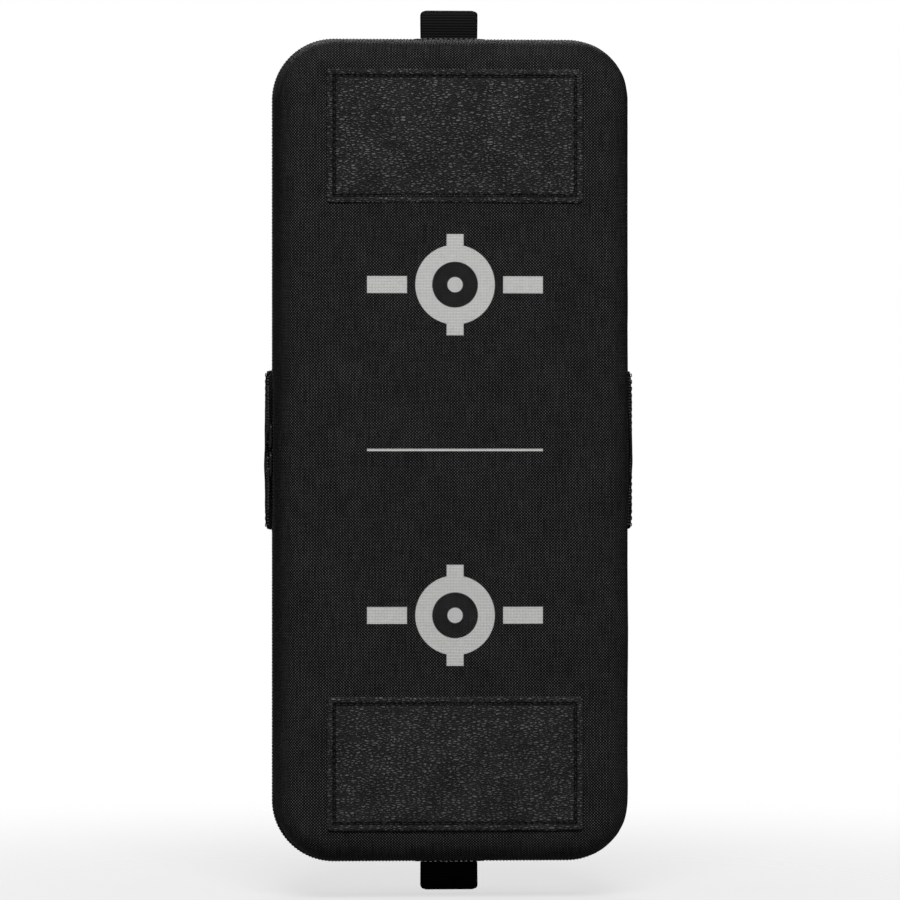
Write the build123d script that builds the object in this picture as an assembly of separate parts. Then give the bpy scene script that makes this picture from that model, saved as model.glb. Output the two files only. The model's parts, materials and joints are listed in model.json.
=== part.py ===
"""Kick shield: two zipped soft halves filled with foam layers.

The strike side carries two synthetic-leather panels. The holder's side carries four ribbed
rubber grip pads, a padded hand grip on each long edge and a webbing loop at each end.
The origin is the point where a hook bears inside the upper loop. +Z is up, and the strike
face looks towards -Y.
"""

import os
from math import cos, radians, sin, tan

from build123d import *

# Body outline at the zip plane
HALF_WIDTH = 117.5
HALF_LENGTH = 272.0
CORNER_R = 40.0

# The two shells. Heights are measured outwards from the zip plane.
WALL = 5.0
RIM = 9.0
FRONT_FACE = 55.0
BACK_FACE = 54.0
FRONT_DRAFT = 5.0
BACK_DRAFT = 6.0
FRONT_EDGE_R = 11.0
BACK_EDGE_R = 13.0

# Zip and fabric hinge. The coil stands a little proud of the shells' rims.
ZIP_GAP = 0.5
COIL_PROUD = 0.8
COIL_REACH = 5.0
COIL_THICK = 2.6
TAPE_INSET = 1.9
TAPE_THICK = 0.9
TAPE_BEND = 6.3
TAPE_END = 17.0
RIM_CORD_R = 1.2
RIM_CORD_INSET = 0.9
ZIP_END_X = 108.0
CLEAR = 0.2

# Foam layers, as heights of their two faces
LINING_LOW = 9.3
LINING_HIGH = 10.1
ABSORBER_HIGH = 31.4
STRIKE_HIGH = 49.7
HOLD_HIGH = 32.8
BOARD_HIGH = 36.0
PALM_HIGH = 48.7
CENTRE_HALF = 8.4

# Strike panels
PANEL_WIDTH = 168.0
PANEL_HEIGHT = 88.0
PANEL_OFFSET = 205.0
PANEL_THICK = 3.8
PANEL_SKIN = 1.1

# Grip pads
PAD_WIDTH = 58.5
PAD_HEIGHT = 90.0
PAD_OFFSET_X = 50.0
PAD_OFFSET_Z = 187.0
PAD_BASE = 2.0
PAD_RIM_HIGH = 3.6
PAD_DECK_HIGH = 3.8
PAD_RIB_HIGH = 7.4
RIB_PITCH = 16.0
RIB_COUNT = 5
RIB_LENGTH = 45.0

# Side grips
GRIP_LENGTH = 108.0
GRIP_HINGE = 36.0
GRIP_REACH = 26.0
GRIP_LOW = 0.4
GRIP_HIGH = 6.2
PIPING_R = 1.6

# End loops, 38 mm webbing
LOOP_WIDTH = 38.0
LOOP_AT = 15.0
LOOP_LIFT = 1.75
WEB_THICK = 1.6
ANCHOR_THICK = 2.2
LOOP_TIP = 15.5
LOOP_TIP_R = 2.6

# Zip sliders. They meet at the middle of the zip side, each this far from it.
SLIDER_OFFSET = 9.5
SLIDER_LENGTH = 16.0
SLIDER_WIDTH = 11.0
PULL_EYE = 8.6
PULL_LENGTH = 30.0

# The hook bears on the inner top of the upper loop
HOOK_HEIGHT = HALF_LENGTH + LOOP_LIFT + LOOP_TIP + LOOP_TIP_R
ZIP_Y = -LOOP_AT
BODY_Z = -HOOK_HEIGHT

FRONT = Plane(origin=(0, ZIP_Y, BODY_Z), x_dir=(1, 0, 0), z_dir=(0, -1, 0)).location
BACK = Plane(origin=(0, ZIP_Y, BODY_Z), x_dir=(-1, 0, 0), z_dir=(0, 1, 0)).location


def save(shape, name):
    """Write one node."""
    export_step(shape, "parts/" + name + ".step")


def outline(inset, height):
    """The body's rounded outline, moved inwards by inset, at a height over the zip plane."""
    width = 2 * (HALF_WIDTH - inset)
    length = 2 * (HALF_LENGTH - inset)
    return Pos(0, 0, height) * RectangleRounded(width, length, CORNER_R - inset)


def block(inset_low, low, inset_high, high):
    """A solid between two outlines."""
    return loft([outline(inset_low, low), outline(inset_high, high)], ruled=True)


def ring(inset_low, low, inset_high, high, thick):
    """A band that follows the outline."""
    outer = block(inset_low, low, inset_high, high)
    inner = block(inset_low + thick, low, inset_high + thick, high)
    return outer - inner


def lean(draft, height):
    """How far the drafted wall has moved inwards at a height."""
    return (height - RIM) * tan(radians(draft))


def drafted(draft, inset, low, high):
    """A solid whose sides lean like the shell's wall."""
    return block(inset + lean(draft, low), low, inset + lean(draft, high), high)


def shell(draft, face, edge_r):
    """One moulded cup, open at its rim."""
    cup = drafted(draft, 0, RIM, face)
    cup = fillet(cup.edges().group_by(Axis.Z)[-1], edge_r)
    hollow = drafted(draft, WALL, RIM - 1, face - WALL)
    hollow = fillet(hollow.edges().group_by(Axis.Z)[-1], edge_r - WALL + 1)
    return cup - hollow


def layer(draft, inset, low, high, edge_r):
    """One foam layer, rounded on its outer edge where the cup is rounded."""
    foam = drafted(draft, inset, low, high)
    if edge_r > 0:
        foam = fillet(foam.edges().group_by(Axis.Z)[-1], edge_r)
    return foam


def tape(draft, start):
    """The fabric band beside the zip: flat under the coil, then bent inside the wall."""
    inside = WALL + 0.3
    end = inside + lean(draft, TAPE_END)
    band = ring(TAPE_INSET, start, TAPE_INSET, TAPE_BEND, TAPE_THICK)
    band += ring(TAPE_INSET, TAPE_BEND, inside, RIM - 0.3, TAPE_THICK)
    band += ring(inside, RIM - 0.3, end, TAPE_END, TAPE_THICK)
    return band


def binding(draft):
    """The band that covers the tape's raw edge inside the cup."""
    inset = WALL + 0.3 + TAPE_THICK + 0.1
    low = RIM
    high = TAPE_END - 1
    return ring(inset + lean(draft, low), low, inset + lean(draft, high), high, 0.8)


def rim_cord():
    """Piping sewn along the rim's outer edge."""
    height = RIM - RIM_CORD_R - 0.05
    path = outline(RIM_CORD_INSET, height).wires()[0]
    start = path @ 0
    section = Plane(origin=start, z_dir=path % 0) * Circle(RIM_CORD_R)
    return sweep(section, path)


def hinge_side(start_x):
    """Everything beyond start_x, where the fabric hinge takes over from the zip."""
    size = HALF_WIDTH + 20 - start_x
    return Pos(start_x + size / 2, ZIP_Y, BODY_Z) * Box(size, 60, 2 * HALF_LENGTH + 40)


def half(location, draft, face, edge_r):
    """Shell, zip, binding, piping and lining of one half, in place."""
    pieces = {}
    pieces["shell"] = location * shell(draft, face, edge_r)
    zip_cut = hinge_side(ZIP_END_X - CLEAR)
    pieces["tape"] = location * tape(draft, ZIP_GAP) - zip_cut
    coil = ring(-COIL_PROUD, ZIP_GAP, -COIL_PROUD, COIL_REACH, COIL_THICK)
    pieces["coil"] = location * coil - zip_cut
    pieces["binding"] = location * binding(draft)
    pieces["cord"] = location * rim_cord()
    lining_inset = WALL + 0.3 + TAPE_THICK + 0.1 + 0.8 + 0.1
    pieces["lining"] = location * drafted(draft, lining_inset, LINING_LOW, LINING_HIGH)
    return pieces


def gusset():
    """The fabric hinge: both tape bands in one piece, on the hinge side only."""
    band = FRONT * tape(FRONT_DRAFT, 0) + BACK * tape(BACK_DRAFT, 0)
    return band & hinge_side(ZIP_END_X + CLEAR)


def strike_panel(side):
    """Leather skin and the padding sealed under it. side is +1 for the upper panel."""
    skin = extrude(RectangleRounded(PANEL_WIDTH, PANEL_HEIGHT, 3), PANEL_THICK)
    skin = fillet(skin.edges().group_by(Axis.Z)[-1], 2.4)
    pad_width = PANEL_WIDTH - 9
    pad_height = PANEL_HEIGHT - 9
    padding = extrude(RectangleRounded(pad_width, pad_height, 3), PANEL_THICK - PANEL_SKIN)
    place = FRONT * Pos(0, side * PANEL_OFFSET, FRONT_FACE)
    return place * (skin - padding), place * padding


def grip_pad(side_x, side_z):
    """One moulded rubber pad: outer rim, stitch groove, raised deck and bevelled ribs."""
    pad = extrude(RectangleRounded(PAD_WIDTH, PAD_HEIGHT, 4), PAD_RIM_HIGH)
    pad = chamfer(pad.edges().group_by(Axis.Z)[-1], 0.8)
    groove = RectangleRounded(PAD_WIDTH - 5.4, PAD_HEIGHT - 5.4, 2.4)
    pad -= Pos(0, 0, PAD_BASE) * extrude(groove, PAD_RIM_HIGH)
    deck = extrude(RectangleRounded(PAD_WIDTH - 10.4, PAD_HEIGHT - 10.4, 1.6), PAD_DECK_HIGH)
    pad += chamfer(deck.edges().group_by(Axis.Z)[-1], 0.6)
    foot = Pos(0, 0, PAD_DECK_HIGH - 0.5) * Rectangle(RIB_LENGTH, 11.6)
    crest = Pos(0, 0, PAD_RIB_HIGH) * Rectangle(RIB_LENGTH - 6, 5.6)
    rib = loft([foot, crest], ruled=True)
    for index in range(RIB_COUNT):
        shift = (index - (RIB_COUNT - 1) / 2) * RIB_PITCH
        pad += Pos(0, shift, 0) * rib
    return BACK * Pos(-side_x * PAD_OFFSET_X, side_z * PAD_OFFSET_Z, BACK_FACE) * pad


def grip_plane():
    """On the back shell's +X wall at the grip's hinge line. Local x runs towards the zip."""
    wall_x = HALF_WIDTH - lean(BACK_DRAFT, GRIP_HINGE)
    slope = radians(BACK_DRAFT)
    return Plane(
        origin=(wall_x, ZIP_Y + GRIP_HINGE, BODY_Z),
        x_dir=(sin(slope), -cos(slope), 0),
        z_dir=(cos(slope), sin(slope), 0),
    ).location


def side_grip():
    """Cover, padding, piping and seam tape of the +X grip."""
    width = GRIP_REACH - 1.0
    thick = GRIP_HIGH - GRIP_LOW
    place = Pos(1.0 + width / 2, 0, GRIP_LOW + thick / 2)
    cover = Box(width, GRIP_LENGTH, thick)
    cover = fillet(cover.edges().filter_by(Axis.Z), 4)
    cover = place * fillet(cover.edges().group_by(Axis.Z)[-1], 2.2)
    bead = Pos(0, 0, PIPING_R + 0.1) * Rot(90, 0, 0) * Cylinder(PIPING_R, GRIP_LENGTH + 2)
    padding = place * Box(width - 7, GRIP_LENGTH - 8, thick - 2.4)
    padding = fillet(padding.edges().filter_by(Axis.Z), 2)
    cover = cover - bead - padding
    seam = Pos(-3.9, 0, 0.45) * Box(4.0, GRIP_LENGTH + 2, 0.9)
    location = grip_plane()
    return location * cover, location * padding, location * bead, location * seam


def other_side(shape):
    """The same piece on the opposite long edge."""
    return mirror(shape, about=Plane.YZ)


def loop_profile(grow):
    """Outline of the folded webbing seen along its width: narrow root, full tip."""
    root = Pos(0, 5.0) * Circle(1.2 + grow)
    tip = Pos(0, LOOP_TIP) * Circle(LOOP_TIP_R + grow)
    edges = root.edges() + tip.edges()
    if grow > 0:
        edges += (Pos(0, 2.0) * Circle(WEB_THICK + 0.15)).edges()
    return make_hull(edges)


def end_loop():
    """Folded webbing of the upper loop, standing straight out of its anchor."""
    profile = loop_profile(WEB_THICK) - loop_profile(0)
    web = extrude(profile, LOOP_WIDTH / 2, both=True)
    place = Plane(
        origin=(0, ZIP_Y + LOOP_AT, BODY_Z + HALF_LENGTH + LOOP_LIFT),
        x_dir=(0, 1, 0),
        z_dir=(1, 0, 0),
    ).location
    web = place * web
    height = 2 * (LOOP_TIP + LOOP_TIP_R + WEB_THICK)
    corners = RectangleRounded(LOOP_WIDTH, height, 2.4)
    trim = Plane.XZ.location * extrude(corners, 20, both=True)
    return web & (Pos(0, ZIP_Y + LOOP_AT, BODY_Z + HALF_LENGTH + LOOP_LIFT) * trim)


def loop_anchor():
    """Stitched reinforcement on the upper end wall that the loop stands in."""
    low = RIM + 0.5
    high = RIM + 13.0
    pad = drafted(BACK_DRAFT, -ANCHOR_THICK, low, high)
    pad -= drafted(BACK_DRAFT, 0, low - 1, high + 1)
    keep = Pos(0, HALF_LENGTH, 0) * Box(46, 40, 60)
    return BACK * (pad & keep)


def other_end(shape):
    """The same piece at the opposite end of the body."""
    flip = Plane(origin=(0, 0, BODY_Z), z_dir=(0, 0, 1))
    return mirror(shape, about=flip)


def slider_place(side):
    """On the zip side, at the coil's outer face. Local x runs up and local z points outwards."""
    return Plane(
        origin=(-HALF_WIDTH - COIL_PROUD, ZIP_Y, BODY_Z + side * SLIDER_OFFSET),
        x_dir=(0, 0, 1),
        z_dir=(-1, 0, 0),
    ).location


def zip_slider(side):
    """Two plates round the coil, the thin wedge between its halves, and the pull's bridge."""
    plate = extrude(RectangleRounded(SLIDER_LENGTH, SLIDER_WIDTH, 3), 1.3)
    top = fillet(plate.edges().group_by(Axis.Z)[-1], 0.6)
    body = Pos(0, 0, 0.3) * top
    body += Pos(0, 0, -5.2) * plate
    body += Pos(0, 0, -1.8) * Box(5, 0.8, 5.4)
    arch = Pos(0, 0, 2.95) * Box(9.6, 2.4, 3.3)
    arch = fillet(arch.edges().filter_by(Axis.Y).group_by(Axis.Z)[-1], 1.2)
    arch -= Pos(0, 0, 2.55) * Box(7.0, 4, 1.9)
    body += arch
    return slider_place(side) * body


def zip_pull(side):
    """Crossbar, two arms and the tab, lying flat away from the other slider."""
    axis = Pos(2.4, 0, 2.55)
    bar = Rot(90, 0, 0) * Cylinder(0.65, 5.0)
    pull = bar
    for arm in (-1, 1):
        pull += Pos(PULL_EYE / 2 + 0.6, arm * 2.1, 0) * Box(PULL_EYE + 1.4, 1.1, 1.2)
    length = PULL_LENGTH - PULL_EYE
    tab = extrude(RectangleRounded(length, 7.0, 2.2), 0.65, both=True)
    pull += Pos(PULL_EYE + length / 2, 0, 0) * tab
    pull = axis * pull
    if side < 0:
        pull = mirror(pull, about=Plane.YZ)
    return slider_place(side) * pull


def main():
    os.makedirs("parts", exist_ok=True)

    front = half(FRONT, FRONT_DRAFT, FRONT_FACE, FRONT_EDGE_R)
    save(front["shell"], "front_shell")
    save(front["tape"], "front_zip_tape")
    save(front["coil"], "front_zip_coil")
    save(front["binding"], "front_rim_binding")
    save(front["cord"], "front_rim_piping")
    save(front["lining"], "front_lining")
    save(FRONT * layer(FRONT_DRAFT, 7.6, 10.3, ABSORBER_HIGH, 0), "absorber_foam")
    save(FRONT * layer(FRONT_DRAFT, 6.2, 31.6, STRIKE_HIGH, 9), "strike_foam")

    back = half(BACK, BACK_DRAFT, BACK_FACE, BACK_EDGE_R)
    save(back["shell"], "back_shell")
    save(back["tape"], "back_zip_tape")
    save(back["coil"], "back_zip_coil")
    save(back["binding"], "back_rim_binding")
    save(back["cord"], "back_rim_piping")
    save(back["lining"], "back_lining")
    save(BACK * layer(BACK_DRAFT, 7.6, 10.3, HOLD_HIGH, 0), "hold_foam")
    save(BACK * layer(BACK_DRAFT, 9.0, 33.0, BOARD_HIGH, 0), "backing_board")
    save(BACK * layer(BACK_DRAFT, 6.6, 36.2, PALM_HIGH, 11), "palm_foam")
    save(FRONT * block(10, -CENTRE_HALF, 10, CENTRE_HALF), "centre_foam")
    save(gusset(), "spine_gusset")

    for side, name in ((1, "upper"), (-1, "lower")):
        skin, padding = strike_panel(side)
        save(skin, name + "_strike_panel")
        save(padding, name + "_panel_padding")

    for side_x, name_x in ((-1, "zip_side"), (1, "hinge_side")):
        for side_z, name_z in ((1, "upper"), (-1, "lower")):
            save(grip_pad(side_x, side_z), name_z + "_grip_pad_" + name_x)

    cover, padding, bead, seam = side_grip()
    save(cover, "hinge_side_grip_cover")
    save(padding, "hinge_side_grip_padding")
    save(bead, "hinge_side_grip_piping")
    save(seam, "hinge_side_grip_seam_tape")
    save(other_side(cover), "zip_side_grip_cover")
    save(other_side(padding), "zip_side_grip_padding")
    save(other_side(bead), "zip_side_grip_piping")
    save(other_side(seam), "zip_side_grip_seam_tape")

    loop = end_loop()
    anchor = loop_anchor()
    save(loop, "upper_loop")
    save(anchor, "upper_loop_anchor")
    save(other_end(loop), "lower_loop")
    save(other_end(anchor), "lower_loop_anchor")

    save(zip_slider(1), "upper_zip_slider")
    save(zip_slider(-1), "lower_zip_slider")
    save(zip_pull(1), "upper_zip_pull")
    save(zip_pull(-1), "lower_zip_pull")


main()
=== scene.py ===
"""Looks of the kick shield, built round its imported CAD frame.

Metres, +Z up, strike face towards -Y. Each half of the body has its own flat coordinates:
across (+X), along (+Z from the body's middle) and height over the zip plane.
"""

import json
import math

import bpy
import numpy as np
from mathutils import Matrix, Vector, noise


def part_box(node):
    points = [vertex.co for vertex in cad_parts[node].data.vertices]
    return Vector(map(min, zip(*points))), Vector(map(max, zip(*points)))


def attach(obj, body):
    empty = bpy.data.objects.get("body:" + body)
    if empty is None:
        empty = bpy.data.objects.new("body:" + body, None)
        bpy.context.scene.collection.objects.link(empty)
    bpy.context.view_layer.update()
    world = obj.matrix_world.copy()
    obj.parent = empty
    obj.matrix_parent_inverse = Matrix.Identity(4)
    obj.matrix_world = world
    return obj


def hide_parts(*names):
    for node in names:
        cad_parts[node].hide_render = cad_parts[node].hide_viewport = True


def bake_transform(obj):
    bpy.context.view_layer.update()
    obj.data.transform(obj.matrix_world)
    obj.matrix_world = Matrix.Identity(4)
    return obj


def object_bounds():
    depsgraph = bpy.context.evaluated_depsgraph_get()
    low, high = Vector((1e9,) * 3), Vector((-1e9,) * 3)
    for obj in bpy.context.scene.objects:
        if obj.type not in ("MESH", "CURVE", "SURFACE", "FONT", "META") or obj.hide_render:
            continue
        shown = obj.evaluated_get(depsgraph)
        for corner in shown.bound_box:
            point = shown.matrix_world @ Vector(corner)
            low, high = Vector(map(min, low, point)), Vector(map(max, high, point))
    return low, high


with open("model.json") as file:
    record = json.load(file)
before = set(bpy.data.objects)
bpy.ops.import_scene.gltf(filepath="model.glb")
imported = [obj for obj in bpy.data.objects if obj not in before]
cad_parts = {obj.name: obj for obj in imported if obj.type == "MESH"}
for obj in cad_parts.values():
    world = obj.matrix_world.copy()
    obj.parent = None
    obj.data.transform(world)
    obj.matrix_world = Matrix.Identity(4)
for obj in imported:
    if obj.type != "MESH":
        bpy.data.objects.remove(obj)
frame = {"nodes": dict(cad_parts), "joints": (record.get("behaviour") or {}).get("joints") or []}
CAD_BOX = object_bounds()
MM = 0.001

# Places read from the frame
JOINTS = {joint["name"]: joint for joint in frame["joints"]}
HINGE = JOINTS["front_half_opening"]["pos_m"]
ZIP_Y, BODY_Z = HINGE[1], HINGE[2]
FRONT_LOW, FRONT_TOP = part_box("front_shell")
BACK_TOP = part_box("back_shell")[1]
HALF_WIDTH = FRONT_TOP.x
HALF_LENGTH = FRONT_TOP.z - BODY_Z
RIM = ZIP_Y - FRONT_TOP.y
FRONT_FACE = ZIP_Y - FRONT_LOW.y
BACK_FACE = BACK_TOP.y - ZIP_Y

# Driving sizes of the moulded halves
CORNER_R = 40 * MM
EDGE_R = 17 * MM
FRONT_DRAFT, BACK_DRAFT = math.radians(5), math.radians(6)
FRONT, BACK = -1, 1

# Fabric, thread, webbing and zip
THREAD_PITCH = 0.98 * MM
PANEL_STITCH = 5.0 * MM
WEBBING_RIB = 1.77 * MM
TOOTH_PITCH = 2.23 * MM
ZIP_END_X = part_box("front_zip_coil")[1].x
COIL_PROUD = 0.8 * MM

# Printed marks, in millimetres. A tick is its middle and half length from its mark's centre
MARK_CENTRE = 108.0
MARK_RING, MARK_DOT, INK_HALF = 20.5, 5.0, 5.5
SIDE_TICK, END_TICK = (44.5, 13.0), (28.5, 4.5)
MIDDLE_LINE_HALF = (57.5, 0.75)
PRINT_BLUR = 0.25

# Cloth simulation
CLOTH_FRAMES = 20
CLOTH_STIFFNESS = 15
MOVEMENT_PERCENTILE = 98


# --- outlines and meshes


def quarter_length(half_width, half_length, radius):
    """A quarter of the way round a rounded rectangle."""
    return half_width + half_length - 2 * radius + radius * math.pi / 2


def outline_at(distance, half_width, half_length, radius):
    """Points and outward directions at distances round a rounded rectangle, from +X's middle."""
    flat_u, flat_v = half_width - radius, half_length - radius
    bend = radius * math.pi / 2
    quarter = quarter_length(half_width, half_length, radius)
    turn = np.floor(distance / quarter).astype(int) % 4
    along = distance % quarter
    along = np.where(turn % 2 == 1, quarter - along, along)
    angle = np.clip((along - flat_v) / radius, 0, math.pi / 2)
    out = np.stack([np.cos(angle), np.sin(angle)], 1)
    u = flat_u + radius * out[:, 0] - np.clip(along - flat_v - bend, 0, None)
    v = np.clip(along, None, flat_v) + radius * out[:, 1]
    mirror = np.stack([np.where((turn == 0) | (turn == 3), 1, -1), np.where(turn < 2, 1, -1)], 1)
    return np.stack([u, v], 1) * mirror, out * mirror


def at_height(flat, height):
    return np.column_stack([flat, np.full(len(flat), height)])


def even_places(pitch, *outline):
    """Points and outward directions evenly round a rounded rectangle, about a pitch apart."""
    total = 4 * quarter_length(*outline)
    count = round(total / pitch)
    return outline_at(np.arange(count) / count * total, *outline)


def band_faces(rings, count, closed=True):
    """Quads between rings of count points each."""
    pairs = [(i, (i + 1) % count) for i in range(count if closed else count - 1)]
    return [
        [ring + here, ring + beside, ring + beside + count, ring + here + count]
        for ring in range(0, (rings - 1) * count, count)
        for here, beside in pairs
    ]


def capped_faces(rings, count):
    """The same, with a face over the first ring and one over the last."""
    caps = [list(range(count))[::-1], list(range((rings - 1) * count, rings * count))]
    return band_faces(rings, count) + caps


def slab(half_width, half_length, radius, profile, step):
    """Closed solid with a rounded outline. profile lists (inset, height) from bottom to top."""
    total = 4 * quarter_length(half_width, half_length, radius)
    count = max(16, round(total / step / 4) * 4)
    edge, out = outline_at(np.arange(count) / count * total, half_width, half_length, radius)
    rings = [at_height(edge - out * inset, height) for inset, height in profile]
    return np.vstack(rings), capped_faces(len(rings), count)


def face_of(node):
    """Half width, half length and middle of a CAD piece in a half's flat coordinates."""
    low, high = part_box(node)
    middle = np.array([(high.x + low.x) / 2, (high.z + low.z) / 2 - BODY_Z])
    return (high.x - low.x) / 2, (high.z - low.z) / 2, middle


def rounded_inset(u, v, half_width, half_length, radius):
    """How far points lie inside a rounded rectangle."""
    over_u, over_v = np.abs(u) - (half_width - radius), np.abs(v) - (half_length - radius)
    outside = np.hypot(np.clip(over_u, 0, None), np.clip(over_v, 0, None))
    return radius - outside - np.minimum(np.maximum(over_u, over_v), 0)


def relief(across, along, half_width, half_length, radius, height):
    """Sheet over a rounded outline, with height(u, v, inset) at each point."""
    u, v = (grid.ravel() for grid in np.meshgrid(across, along))
    core_u = np.clip(u, radius - half_width, half_width - radius)
    core_v = np.clip(v, radius - half_length, half_length - radius)
    reach = np.hypot(u - core_u, v - core_v)
    pull = np.minimum(1, radius / np.maximum(reach, 1e-9))
    u, v = core_u + (u - core_u) * pull, core_v + (v - core_v) * pull
    inset = rounded_inset(u, v, half_width, half_length, radius)
    points = np.stack([u, v, height(u, v, inset)], 1)
    return points, band_faces(len(along), len(across), closed=False)


def spaced(half, border, fine, coarse):
    """Symmetric positions from -half to half, fine within border of each end."""
    edge = np.arange(0, border, fine)
    count = max(2, round((2 * half - 2 * border) / coarse))
    middle = np.linspace(border, 2 * half - border, count)
    return np.concatenate([edge, middle, (2 * half - edge)[::-1]]) - half


def tube(centres, radius, side_hint, sides, closed=False, flatten=1.0, twist=None):
    """Round tube through centres. side_hint is never along it; flatten widens it that way."""
    centres = np.asarray(centres, float)
    if closed:
        tangent = np.roll(centres, -1, 0) - np.roll(centres, 1, 0)
    else:
        tangent = np.gradient(centres, axis=0)
    tangent /= np.linalg.norm(tangent, axis=1)[:, None]
    second = np.cross(tangent, np.broadcast_to(side_hint, tangent.shape))
    second /= np.linalg.norm(second, axis=1)[:, None]
    first = np.cross(second, tangent)
    angle = np.arange(sides) / sides * 2 * math.pi
    size = np.broadcast_to(np.asarray(radius, float), (len(centres),))[:, None] * np.ones(sides)
    if twist is not None:
        size = size * twist(np.arange(len(centres))[:, None], angle[None, :])
    ring = (
        first[:, None, :] * (np.cos(angle) * size)[:, :, None] * flatten
        + second[:, None, :] * (np.sin(angle) * size)[:, :, None]
    )
    points = (centres[:, None, :] + ring).reshape(-1, 3)
    count = len(centres)
    if not closed:
        return points, capped_faces(count, sides)
    last = (count - 1) * sides
    seam = [[last + i, last + (i + 1) % sides, (i + 1) % sides, i] for i in range(sides)]
    return points, band_faces(count, sides) + seam


def scatter(template, origins, axes):
    """The template once for each origin, turned to that origin's three axes."""
    points, faces = template
    moved = origins[:, None, :] + np.einsum("pk,nkc->npc", points, axes)
    count = len(points)
    every = [[i + copy * count for i in face] for copy in range(len(origins)) for face in faces]
    return moved.reshape(-1, 3), every


def joined(*parts):
    """Several (points, faces) as one."""
    points, faces, start = [], [], 0
    for part_points, part_faces in parts:
        points.append(part_points)
        faces += [[i + start for i in face] for face in part_faces]
        start += len(part_points)
    return np.vstack(points), faces


def in_half(points, side):
    """From a half's coordinates to the row frame."""
    u, v, height = np.asarray(points).T
    return np.stack([u, ZIP_Y + side * height, BODY_Z + v], 1)


def in_axes(points, origin, axes):
    """From local coordinates to the row frame."""
    return np.asarray(origin) + np.asarray(points) @ np.asarray(axes, float)


def build(name, shape, material, flip=False):
    """A smooth-shaded object from (points, faces)."""
    points, faces = shape
    if flip:
        faces = [face[::-1] for face in faces]
    mesh = bpy.data.meshes.new(name)
    mesh.from_pydata([tuple(p) for p in points], [], faces)
    mesh.update()
    mesh.shade_smooth()
    mesh.materials.append(material)
    obj = bpy.data.objects.new(name, mesh)
    bpy.context.scene.collection.objects.link(obj)
    return obj


def coordinates(obj):
    """The object's vertices as an array."""
    found = np.zeros(len(obj.data.vertices) * 3, np.float32)
    obj.data.vertices.foreach_get("co", found)
    return found.reshape(-1, 3).astype(float)


def set_coordinates(obj, points):
    obj.data.vertices.foreach_set("co", np.asarray(points, np.float32).ravel())
    obj.data.update()


def add_vector(obj, name, values):
    """Stores a vector at each vertex for the material to read."""
    attribute = obj.data.attributes.new(name, "FLOAT_VECTOR", "POINT")
    attribute.data.foreach_set("vector", np.asarray(values, np.float32).ravel())


def bake_modifiers(obj):
    """The object's mesh becomes what its modifiers make of it."""
    graph = bpy.context.evaluated_depsgraph_get()
    old = obj.data
    obj.data = bpy.data.meshes.new_from_object(obj.evaluated_get(graph))
    obj.modifiers.clear()
    bpy.data.meshes.remove(old)
    obj.data.shade_smooth()


def remesh(obj, voxel):
    modifier = obj.modifiers.new("even mesh", "REMESH")
    modifier.mode = "VOXEL"
    modifier.voxel_size = voxel
    bake_modifiers(obj)


def subdivide(obj):
    modifier = obj.modifiers.new("smooth", "SUBSURF")
    modifier.levels = modifier.render_levels = 1
    bake_modifiers(obj)


def blow_up(obj, pressure, held, cap, share=None):
    """Cloth simulation with pressure, scaled so that the widest movement is cap.

    Points in held stay put, and share weakens the movement of each point.
    """
    before = coordinates(obj)
    scene = bpy.context.scene
    group = obj.vertex_groups.new(name="held")
    group.add([int(i) for i in np.flatnonzero(held)], 1.0, "REPLACE")
    cloth = obj.modifiers.new("fabric", "CLOTH")
    settings = cloth.settings
    settings.quality = 5
    settings.mass = 0.3
    settings.tension_stiffness = settings.compression_stiffness = CLOTH_STIFFNESS
    settings.bending_stiffness = 0.5
    settings.use_pressure = True
    settings.uniform_pressure_force = pressure
    settings.vertex_group_mass = "held"
    settings.effector_weights.gravity = 0
    cloth.collision_settings.use_collision = False
    cloth.point_cache.frame_end = CLOTH_FRAMES
    for step in range(1, CLOTH_FRAMES + 1):
        scene.frame_set(step)
    graph = bpy.context.evaluated_depsgraph_get()
    mesh = obj.evaluated_get(graph).data
    after = np.zeros(len(mesh.vertices) * 3, np.float32)
    mesh.vertices.foreach_get("co", after)
    obj.modifiers.clear()
    scene.frame_set(1)
    move = after.reshape(-1, 3).astype(float) - before
    length = np.linalg.norm(move, axis=1)
    typical = np.percentile(length, MOVEMENT_PERCENTILE)
    print(obj.name, "simulated: points", len(move), "movement mm", round(typical / MM, 2))
    move *= cap / max(typical, 1e-9)
    length = np.linalg.norm(move, axis=1)
    move *= np.minimum(1, cap / np.maximum(length, 1e-9))[:, None]
    if share is not None:
        move *= share[:, None]
    set_coordinates(obj, before + move)


def rumple(obj, size, depth, seed):
    """Slow unevenness, as hand-laid fabric has."""
    points = coordinates(obj)
    normals = np.array([v.normal for v in obj.data.vertices])
    shift = Vector((seed, seed * 0.7, -seed))
    lift = [noise.fractal(Vector(p) / size + shift, 1.0, 2.0, 2) for p in points]
    set_coordinates(obj, points + normals * np.array(lift)[:, None] * depth)


# --- materials


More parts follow.
